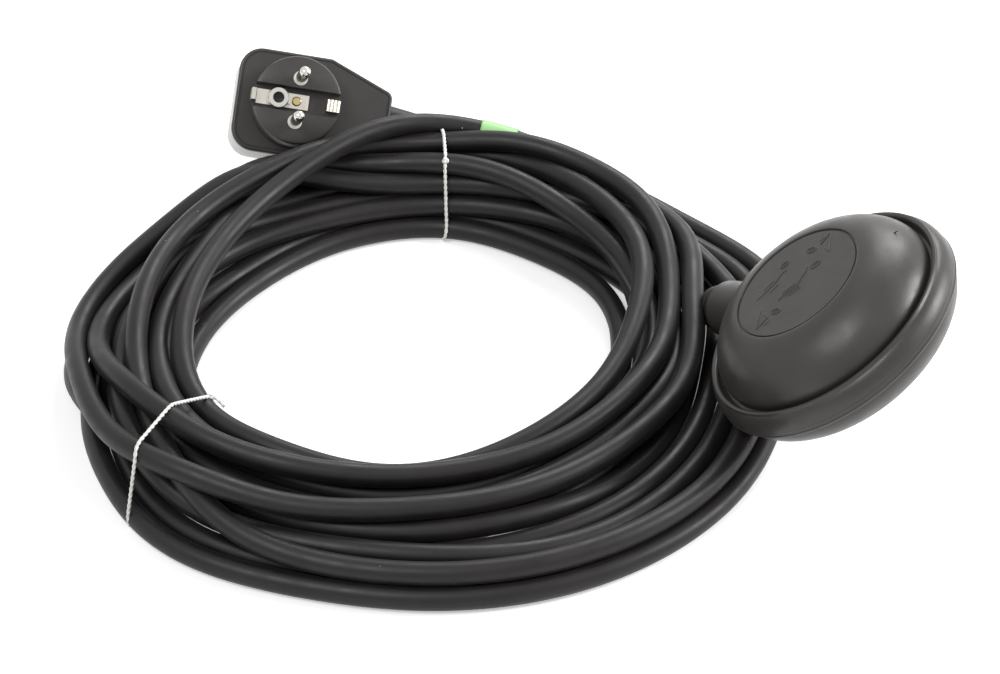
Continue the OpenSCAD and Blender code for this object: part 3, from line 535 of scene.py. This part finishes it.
# Each tie: its node, a place inside the coil and one outside it, how far round its knot and its
# loose ends sit, how far each end reaches sideways, and the stretch of cable that it leaves out.
TIES = [
    ("tie_front", (-0.0750, -0.0330), (-0.107, -0.091), 0.965, 0.965, (0.006, -0.004), ()),
    ("tie_back", (0.0062, 0.0650), (0.0016, 0.135), 0.80, 0.665, (-0.009, 0.002), TOP_LOOP_STRETCH)]
for node, inner, outer, knot_place, tail_place, tails, skipped in TIES:
    out, across, hits = bundle_section(inner, outer, skipped)
    loop = taut_loop(hits)
    points = np.array([r * out + np.array([*inner, z]) for r, z in loop + loop[:1]])
    sway = STRING_SWAY * np.sin(np.linspace(0, 2 * math.pi, len(points)))
    points = evenly(points + sway[:, None] * across, 0.002)
    points[1:-1] = (points[:-2] + 2 * points[1:-1] + points[2:]) / 4
    points[:, 2] = np.maximum(points[:, 2], COTTON_OFF_TABLE)
    knot_spot, tail_spot = (points[int(len(points) * place)] for place in (knot_place, tail_place))
    knot_out, tail_out = (
        (spot - points.mean(0)) / np.linalg.norm(spot - points.mean(0)) for spot in (knot_spot, tail_spot))
    parts = [twisted_string(points), overhand_knot(knot_spot, knot_out, across)]
    parts += [loose_end(tail_spot, tail_out, across, reach) for reach in tails]
    tie = new_piece("string_" + node, *add_up(*parts), "string_white")
    finish(tie, cotton)
    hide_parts(node)


# The length tag: a slip of pale green tape wrapped once and a bit round the free top loop.
# It is left bare, where a maker would print the cable's length.
TAG_LENGTH = 0.012
TAG_TAPE = 0.00035
TAG_OFF_CABLE = 0.00012
TAG_PLACE = np.array((28, 122, 36)) * MM


def tape_round(line):
    """A strip of tape wrapped round the line of the cable, with its last bit lifting off."""
    heading = np.gradient(line, axis=0)
    heading /= np.linalg.norm(heading, axis=1)[:, None]
    side = np.cross(heading, (0, 0, 1.0))
    side /= np.linalg.norm(side, axis=1)[:, None]
    up = np.cross(side, heading)
    wrap = np.linspace(-0.5, 2 * math.pi + 0.55, 46)
    verts = []
    for layer in (0, 1):
        for k, point in enumerate(line):
            for a in wrap:
                lift_off = TAG_TAPE * 1.4 * max(0.0, (a - 2 * math.pi + 0.9) / 1.45)
                r = CABLE_RADIUS + TAG_OFF_CABLE + lift_off + layer * TAG_TAPE
                verts.append(point + r * (math.cos(a) * side[k] + math.sin(a) * up[k]))
    rows, row = len(line), len(wrap)
    layer_count = rows * row
    faces = []
    for k in range(rows - 1):
        for j in range(row - 1):
            a = k * row + j
            faces.append((a, a + 1, a + row + 1, a + row))
            faces.append(tuple(i + layer_count for i in (a, a + row, a + row + 1, a + 1)))
    for k in range(rows - 1):
        for j in (0, row - 1):
            a = k * row + j
            faces.append((a, a + row, a + row + layer_count, a + layer_count))
    for j in range(row - 1):
        for k in (0, rows - 1):
            a = k * row + j
            faces.append((a, a + 1, a + 1 + layer_count, a + layer_count))
    return verts, faces


nearest = int(np.argmin(np.linalg.norm(cable_path - TAG_PLACE, axis=1)))
half_tag = round(TAG_LENGTH / 2 / CABLE_STEP)
under_tag = evenly(cable_path[nearest - half_tag:nearest + half_tag + 1], 0.0008)
tag = new_piece("green_length_tag", *tape_round(under_tag), "tag_green")
green_tape = moulded_finish(
    "pale_green_tape", (0.33, 0.6, 0.26), 0.5, grain=0.00002, grain_size=900, mottle=0.08,
    worn=(0.5, 0.72, 0.42))
finish(tag, green_tape)
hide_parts("length_tag")


# The float: two moulded halves of black polypropylene, welded at the rim round the switch.
# Each is turned as the frame's shell is, with softer shoulders, and carries half of the neck.
FLOAT_PLACE = np.array((155.1, -41.7, 52.3)) * MM
RIM_RADIUS = 53.6
RIM_WALL = 2.8
RIM_GAP = 0.04
NECK_MOUTH = 66.0
BOOT_BORE = 8.0
CABLE_BORE = 5.1
PLATE_RADIUS = 27.0
PLATE_HEIGHT = 24.6


def turned(yaw, tilt, spin):
    """The matrix of a piece that is spun about its own axis, tilted, then swung round."""
    def about_z(degrees):
        c, s = math.cos(math.radians(degrees)), math.sin(math.radians(degrees))
        return np.array([[c, -s, 0], [s, c, 0], [0, 0, 1]])
    c, s = math.cos(math.radians(tilt)), math.sin(math.radians(tilt))
    return about_z(yaw) @ np.array([[c, 0, s], [0, 1, 0], [-s, 0, c]]) @ about_z(spin)


FLOAT_TURN = turned(178.1, 37.3, 134.7)


def arc(x, y, rx, ry, start, end, steps):
    """Points on an arc, in degrees from one angle to another."""
    angles = np.radians(np.linspace(start, end, steps + 1))
    return [(x + rx * math.cos(a), y + ry * math.sin(a)) for a in angles]


def shoulder(x, y, rx, ry, fullness, steps=22):
    """A quarter curve from above the centre down to beside it; 1 is round, more is flatter."""
    angles = np.linspace(0, math.pi / 2, steps + 1)
    return [(x + rx * math.sin(a)**fullness, y + ry * math.cos(a)**fullness) for a in angles]


def lathe(profile, sides=176):
    """A closed solid turned about Z from a closed profile that starts and ends on the axis."""
    turn = np.arange(sides) * 2 * math.pi / sides
    verts, faces = [(0, 0, profile[0][1])], []
    for r, z in profile[1:-1]:
        verts += [(r * math.cos(a), r * math.sin(a), z) for a in turn]
    verts.append((0, 0, profile[-1][1]))
    last = len(verts) - 1
    rings = len(profile) - 2
    for s in range(sides):
        n = (s + 1) % sides
        faces.append((0, 1 + s, 1 + n))
        faces.append((last, last - sides + n, last - sides + s))
        for k in range(rings - 1):
            a = 1 + k * sides
            faces.append((a + s, a + sides + s, a + sides + n, a + n))
    return verts, faces


def rod(start, end, r_start, r_end, axis=0, sides=72, half=0):
    """A closed cylinder or cone along an axis; half keeps only its upper or lower side."""
    across, up = [k for k in range(3) if k != axis]
    angles = np.arange(sides) * 2 * math.pi / sides
    if half:
        angles = np.linspace(0, math.pi * half, sides // 2 + 1)
    count = len(angles)
    verts = []
    for place, r in ((start, r_start), (end, r_end)):
        for a in angles:
            point = [0.0, 0.0, 0.0]
            point[axis], point[across], point[up] = place, r * math.cos(a), r * math.sin(a)
            verts.append(tuple(point))
    faces = [(k, (k + 1) % count, (k + 1) % count + count, k + count) for k in range(count)]
    faces += [tuple(range(count))[::-1], tuple(range(count, 2 * count))]
    return verts, faces


def box(low, high):
    """A closed block between two corners."""
    verts = [(x, y, z) for z in (low[2], high[2]) for y in (low[1], high[1]) for x in (low[0], high[0])]
    faces = [(0, 2, 3, 1), (4, 5, 7, 6), (0, 1, 5, 4), (2, 6, 7, 3), (0, 4, 6, 2), (1, 3, 7, 5)]
    return verts, faces


def shifted(form, x=0.0, y=0.0, z=0.0):
    """The same form, moved aside."""
    return [(a + x, b + y, c + z) for a, b, c in form[0]], form[1]


def carved(base, added=(), cut=()):
    """One closed solid in millimetres: the base with some forms added and others cut away."""
    def rough(form):
        mesh = bpy.data.meshes.new("rough")
        mesh.from_pydata(form[0], [], form[1])
        work = bmesh.new()
        work.from_mesh(mesh)
        bmesh.ops.recalc_face_normals(work, faces=work.faces)
        work.to_mesh(mesh)
        work.free()
        piece = bpy.data.objects.new("rough", mesh)
        scene.collection.objects.link(piece)
        return piece

    blank = rough(base)
    tools = []
    for kind, forms in (("UNION", added), ("DIFFERENCE", cut)):
        for form in forms:
            tools.append(rough(form))
            step = blank.modifiers.new(kind, "BOOLEAN")
            step.operation = kind
            step.object = tools[-1]
    result = bpy.data.meshes.new_from_object(blank.evaluated_get(bpy.context.evaluated_depsgraph_get()))
    form = [tuple(v.co) for v in result.vertices], [tuple(f.vertices) for f in result.polygons]
    for piece in [blank, *tools]:
        bpy.data.objects.remove(piece)
    bpy.data.meshes.remove(result)
    return form


def placed(form, turn, place):
    """A form in its own millimetres, moved to its place in metres."""
    verts, faces = form
    return (np.asarray(verts, float) * MM) @ turn.T + place, faces


def crisp(piece, degrees=32):
    """Keeps a moulded piece's real edges sharp and its curves smooth."""
    piece.data.set_sharp_from_angle(angle=math.radians(degrees))


moulding = moulded_finish(
    "float_and_plug_moulding", (0.041, 0.0372, 0.0345), 0.38, grain=0.00004, grain_size=1500, mottle=0.12,
    dust=0.03, worn=(0.05, 0.048, 0.046), specular=0.4)

plate_edge = [(0, PLATE_HEIGHT)] + [
    (PLATE_RADIUS + out, PLATE_HEIGHT + up)
    for out, up in ((-0.7, 0), (-0.45, -0.55), (0.05, -0.55), (0.3, 0.15))]
top_dome = shoulder(PLATE_RADIUS + 0.4, 6.6, 19.4, 18.2, 1.21)
rim_step = (
    [(46.5, 4.2), (47.6, 4.0)] + arc(50.2, 6.0, 1.7, 1.9, 195, 70, 12)
    + arc(RIM_RADIUS - 4.4, 0.4, 4.4, 6.8, 66, 0, 14))
top_hollow = shoulder(24, 3.2, 21.4, 18.2, 0.83)[::-1]
top_profile = (
    plate_edge + top_dome + rim_step
    + [(RIM_RADIUS, RIM_GAP), (RIM_RADIUS - RIM_WALL, RIM_GAP), (RIM_RADIUS - RIM_WALL, 2.4)]
    + top_hollow + [(0, 21.4)])
low_dome = [(r, -z) for r, z in shoulder(PLATE_RADIUS, 3.6, 24.8, 17.1, 1.12)][::-1]
low_hollow = [(r, -z) for r, z in shoulder(24, 3.2, 21.6, 14.6, 0.8)]
low_profile = (
    [(0, -17.8)] + low_hollow
    + [(RIM_RADIUS - RIM_WALL, -2.4), (RIM_RADIUS - RIM_WALL, -RIM_GAP), (RIM_RADIUS, -RIM_GAP)]
    + [(RIM_RADIUS, -2.6), (RIM_RADIUS - 0.3, -3.0), (RIM_RADIUS - 1.2, -3.2)] + low_dome + [(0, -20.7)])

neck_cut = [rod(-NECK_MOUTH - 1, -49, BOOT_BORE, BOOT_BORE), rod(-49.5, -36, CABLE_BORE, CABLE_BORE)]
for node, profile, side in (("float_shell_top", top_profile, 1), ("float_shell_bottom", low_profile, -1)):
    neck = rod(-NECK_MOUTH, -46, 11.5, 12.5, half=side)
    half_shell = carved(lathe(profile), added=[neck], cut=neck_cut)
    shell = new_piece("moulded_" + node, *placed(half_shell, FLOAT_TURN, FLOAT_PLACE), "shell_black")
    crisp(shell)
    finish(shell, moulding)
    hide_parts(node)


# Raised marks on the float's plate, moulded with the shell: four small signs, without words, that show
# how the float hangs and swings, and a mould mark on the shoulder. Each sign is a bent cable's line with
# an oval float, given by its middle, its two half widths and its turn in degrees.
SIGN_RIB = 0.00026
FINE_RIB = 0.0002
SIGNS = [
    ([(-14.9, -10.8), (-13.4, -6.6), (-11.9, -0.9), (-12.1, 3.2), (-10.9, 5.6)],
     (-14.3, 7.4), (2.0, 1.2), 70),
    ([(-2.8, -9.3), (-2.2, -6.3), (1.0, -1.0), (0.4, 5.5), (-0.9, 8.1)], (2.9, 9.4), (2.3, 1.4), 60),
    ([(-2.6, 19.0), (-1.9, 25.4), (4.9, 16.4), (1.2, 17.6)], (-5.3, 15.9), (2.3, 1.4), 20),
    ([(-8.6, -14.4), (-3.1, -24.2), (-1.7, -17.6), (-5.4, -16.6)], (0.2, -14.3), (2.3, 1.4), 15)]
WATER_LINES = [
    ((-14.9, -5.6), (-13.6, -0.8)), ((-13.9, -7.4), (-12.6, -2.4)), ((-10.6, -6.6), (-9.6, -1.8)),
    ((-3.6, -6.0), (-0.4, -0.4)), ((-0.8, -7.0), (2.6, -1.2)), ((1.4, -6.4), (3.8, -2.0)),
    ((-4.2, 20.4), (-3.4, 22.8)), ((-0.4, -21.6), (0.8, -18.8))]


def raised_line(points, radius=SIGN_RIB, height=PLATE_HEIGHT):
    """A round rib half sunk in the plate."""
    flat = np.array([(x, y, height + 0.02) for x, y in points]) * MM
    return tube(evenly(flat @ FLOAT_TURN.T + FLOAT_PLACE, 0.0005), radius, 8)


marks = []
for line, centre, (long, wide), degrees in SIGNS:
    marks.append(raised_line(line))
    turn = np.linspace(0, 2 * math.pi, 26)
    c, s = math.cos(math.radians(degrees)), math.sin(math.radians(degrees))
    oval = [(centre[0] + long * math.cos(a) * c - wide * math.sin(a) * s,
             centre[1] + long * math.cos(a) * s + wide * math.sin(a) * c) for a in turn]
    marks.append(raised_line(oval))
    marks.append(raised_line([oval[3], oval[16]], FINE_RIB))
for line in WATER_LINES:
    marks.append(raised_line(line, FINE_RIB))
mould_mark = [(22.2, 32.0), (24.4, 34.2)]
marks.append(raised_line(mould_mark, 0.0003, height=18.1))
signs = new_piece("float_plate_signs", *add_up(*marks), "shell_black")
finish(signs, moulding)


# The weld line: a thin thread of the shells' plastic that the hot weld pressed out of the rim. It runs
# all the way round, apart from the stretch where the neck for the cable stands.
WELD_HEIGHT = -2.0
NECK_HALF_ANGLE = 0.22
around = np.linspace(NECK_HALF_ANGLE, 2 * math.pi - NECK_HALF_ANGLE, 200) + math.pi
weld = MM * np.stack(
    [RIM_RADIUS * np.cos(around), RIM_RADIUS * np.sin(around), 0 * around + WELD_HEIGHT], 1)
flash = new_piece("rim_weld_line", *tube(weld @ FLOAT_TURN.T + FLOAT_PLACE, FINE_RIB, 6), "shell_black")
finish(flash, moulding)


# The plug: a black face with a round boss, closed by a deep light grey back with a socket well.
# Both are moulded and snap together; the face has a slot for the earth contact and two pin bores.
PLUG_PLACE = np.array((-58.4, 128, 45.5)) * MM
PLUG_TURN = turned(-76.7, 49.5, 73.7)
FACE_Z = -14.0
SEAM_Z = -16.4
BACK_Z = -40.0
BOSS_RADIUS = 19.0
PIN_ROW = 9.5
PIN_BORE = 3.15
SLOT_HALF = 5.4
SLOT_FLOOR = -6.0
WELL_RADIUS = 19.8
WELL_DEPTH = 8.0
SOCKET_BORE = 2.6
SOCKET_DEPTH = 14.0


def plug_ring(inset, z):
    """One level of the plug's outline, drawn in by an inset."""
    half, tail, corner = 22.5 - inset, 12.5 - inset, 10 - inset
    end_r = max(3.5 - inset, 1.0)
    near_x, far_x = -15.5, 42 - inset - end_r
    points = (
        arc(near_x, half - corner, corner, corner, 180, 90, 14) + [(14, half)]
        + arc(far_x, tail - end_r, end_r, end_r, 70, 0, 8)
        + arc(far_x, end_r - tail, end_r, end_r, 0, -70, 8)
        + [(14, -half)] + arc(near_x, corner - half, corner, corner, -90, -180, 14))
    return [(x, y, z) for x, y in points]


def stacked(rings):
    """A closed solid through rings of equal count."""
    count = len(rings[0])
    verts = [point for ring in rings for point in ring]
    faces = [tuple(range(count)), tuple(range(len(verts) - count, len(verts)))[::-1]]
    for k in range(len(rings) - 1):
        for s in range(count):
            a, b = k * count + s, k * count + (s + 1) % count
            faces.append((a, a + count, b + count, b))
    return verts, faces


face_plate = stacked([
    plug_ring(inset, z) for inset, z in (
        (0, SEAM_Z), (0, FACE_Z - 0.9), (0.15, FACE_Z - 0.4), (0.5, FACE_Z - 0.1), (0.9, FACE_Z),
        (1.3, FACE_Z), (1.5, FACE_Z - 0.35), (1.9, FACE_Z - 0.35), (2.1, FACE_Z - 0.05))])
boss = lathe([(0, 0), (BOSS_RADIUS - 1.1, 0), (BOSS_RADIUS - 0.35, -0.3), (BOSS_RADIUS, -1.0),
              (BOSS_RADIUS, SEAM_Z + 0.6), (0, SEAM_Z + 0.6)], 128)
slot = box((-BOSS_RADIUS - 1, -SLOT_HALF, SLOT_FLOOR), (BOSS_RADIUS + 1, SLOT_HALF, 1))
pin_bore = rod(SEAM_Z - 1, 1, PIN_BORE, PIN_BORE, axis=2, sides=48)
front = carved(
    face_plate, added=[boss], cut=[slot, shifted(pin_bore, y=PIN_ROW), shifted(pin_bore, y=-PIN_ROW)])
face = new_piece("black_plug_face", *placed(front, PLUG_TURN, PLUG_PLACE), "shell_black")
crisp(face, 28)
finish(face, moulding)
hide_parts("plug_front")

back_body = stacked([
    plug_ring(inset, z) for inset, z in (
        (1.6, BACK_Z), (0.9, BACK_Z + 0.3), (0.5, BACK_Z + 1.1), (0.35, BACK_Z + 2.2), (0.3, SEAM_Z - 0.35),
        (0.8, SEAM_Z - 0.3), (0.8, SEAM_Z))])
well = rod(BACK_Z - 1, BACK_Z + WELL_DEPTH, WELL_RADIUS, WELL_RADIUS, axis=2, sides=128)
hole = rod(BACK_Z, BACK_Z + SOCKET_DEPTH, SOCKET_BORE, SOCKET_BORE, axis=2, sides=40)
back = carved(back_body, cut=[well, shifted(hole, y=PIN_ROW), shifted(hole, y=-PIN_ROW)])
grey_back = new_piece("grey_plug_back", *placed(back, PLUG_TURN, PLUG_PLACE), "pale_grey")
crisp(grey_back, 28)
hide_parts("plug_back")


# The earth contact: a plated strap in the slot, a flat ring at the sleeve, a hook and a ribbed spring.
# All are pressed from nickel-plated brass; a rivet holds the strap to the slot's floor.
EARTH_X = -8.2
EARTH_BORE = 2.7
RIVET_BORE = 1.2
STRAP_TOP = -4.8
STRAP_HALF = 3.2
plated = moulded_finish(
    "plated_contact", (0.62, 0.59, 0.53), 0.3, grain=0.000003, grain_size=700, mottle=0.1, metallic=1.0,
    worn=(0.42, 0.37, 0.28))
rivet_hole = rod(-8, 0, RIVET_BORE, RIVET_BORE, axis=2, sides=32)
earth_hole = rod(-8, 1, EARTH_BORE, EARTH_BORE, axis=2, sides=48)
strap = carved(
    box((-17.4, -STRAP_HALF, SLOT_FLOOR), (5.2, STRAP_HALF, STRAP_TOP)),
    cut=[rivet_hole, shifted(earth_hole, x=EARTH_X)])
collar = box((EARTH_X + 4.3, -1.9, STRAP_TOP - 0.2), (EARTH_X + 5.5, 1.9, -1.4))
ring = lathe([(0, -2.2), (3.9, -2.2), (4.5, -1.9), (4.5, -0.9), (4.2, -0.6), (0, -0.6)], 64)
flat_ring = shifted(carved(ring, cut=[earth_hole]), x=EARTH_X)
contact = new_piece(
    "earth_strap_and_ring", *placed(add_up(strap, collar, flat_ring), PLUG_TURN, PLUG_PLACE), "nickel")
crisp(contact)
finish(contact, plated)
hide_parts("earth_strap")

hook_blank = box((-19.9, -2.5, SLOT_FLOOR), (-18.0, 2.5, 0.3))
hook_gap = box((-19.2, -3, SLOT_FLOOR - 0.5), (-18.7, 3, -0.6))
hook = carved(hook_blank, cut=[hook_gap])
left_clip = new_piece("earth_hook", *placed(hook, PLUG_TURN, PLUG_PLACE), "nickel")
crisp(left_clip)
finish(left_clip, plated)
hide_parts("earth_clip_left")

SPRING_RIBS = 4
RIB_STEP = 1.5
rib = rod(-2.6, 2.6, 0.62, 0.62, axis=1, sides=24)
spring = carved(
    box((12.8, -2.6, -5.6), (18.6, 2.6, -1.7)),
    added=[shifted(rib, x=13.4 + RIB_STEP * k, z=-1.6) for k in range(SPRING_RIBS)])
right_clip = new_piece("ribbed_earth_spring", *placed(spring, PLUG_TURN, PLUG_PLACE), "nickel")
crisp(right_clip)
finish(right_clip, plated)
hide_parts("earth_clip_right")


# The boot, the pins, and the switch in its case inside the float: these keep the frame's own solids.
# Each is moulded, turned or pressed, and gets the finish of the material that it is made of.
FINISHES = {
    "shell_black": moulding,
    "rubber_black": jacket,
    "seal_rubber": moulded_finish("grey_seal_rubber", (0.05, 0.05, 0.05), 0.6, dust=0.02),
    "gasket_rubber": moulded_finish("red_gasket_rubber", (0.5, 0.05, 0.012), 0.55),
    "pale_grey": moulded_finish(
        "pale_grey_moulding", (0.6, 0.6, 0.57), 0.4, grain=0.00003, grain_size=1500, mottle=0.05,
        worn=(0.45, 0.45, 0.42)),
    "case_ivory": moulded_finish("ivory_case_moulding", (0.7, 0.66, 0.53), 0.4, mottle=0.05),
    "track_white": moulded_finish("white_track_moulding", (0.8, 0.8, 0.78), 0.35, mottle=0.04),
    "switch_brown": moulded_finish("brown_phenolic", (0.09, 0.035, 0.018), 0.35, mottle=0.2),
    "plunger_red": moulded_finish("red_plunger_plastic", (0.5, 0.02, 0.015), 0.3, mottle=0.08),
    "steel": moulded_finish(
        "bright_steel", (0.58, 0.58, 0.58), 0.25, grain=0.000006, mottle=0.06, metallic=1.0,
        squash=(1, 1, 14)),
    "brass": moulded_finish(
        "turned_brass", (0.5, 0.4, 0.2), 0.42, grain=0.000006, mottle=0.1, metallic=1.0,
        worn=(0.45, 0.3, 0.12)),
    "nickel": moulded_finish(
        "nickel_plate", (0.66, 0.64, 0.6), 0.16, grain=0.0000012, grain_size=500, mottle=0.05, metallic=1.0,
        worn=(0.55, 0.5, 0.4)),
    "core_brown": moulded_finish("brown_core", (0.14, 0.05, 0.02), 0.45),
    "core_blue": moulded_finish("blue_core", (0.02, 0.09, 0.38), 0.45),
    "core_earth": moulded_finish("green_and_yellow_core", (0.2, 0.42, 0.03), 0.45),
    "string_white": cotton,
    "tag_green": green_tape}
finish(grey_back, FINISHES["pale_grey"])
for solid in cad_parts.values():
    for place in solid.material_slots:
        place.material = FINISHES[place.material.name.split(".")[0]]
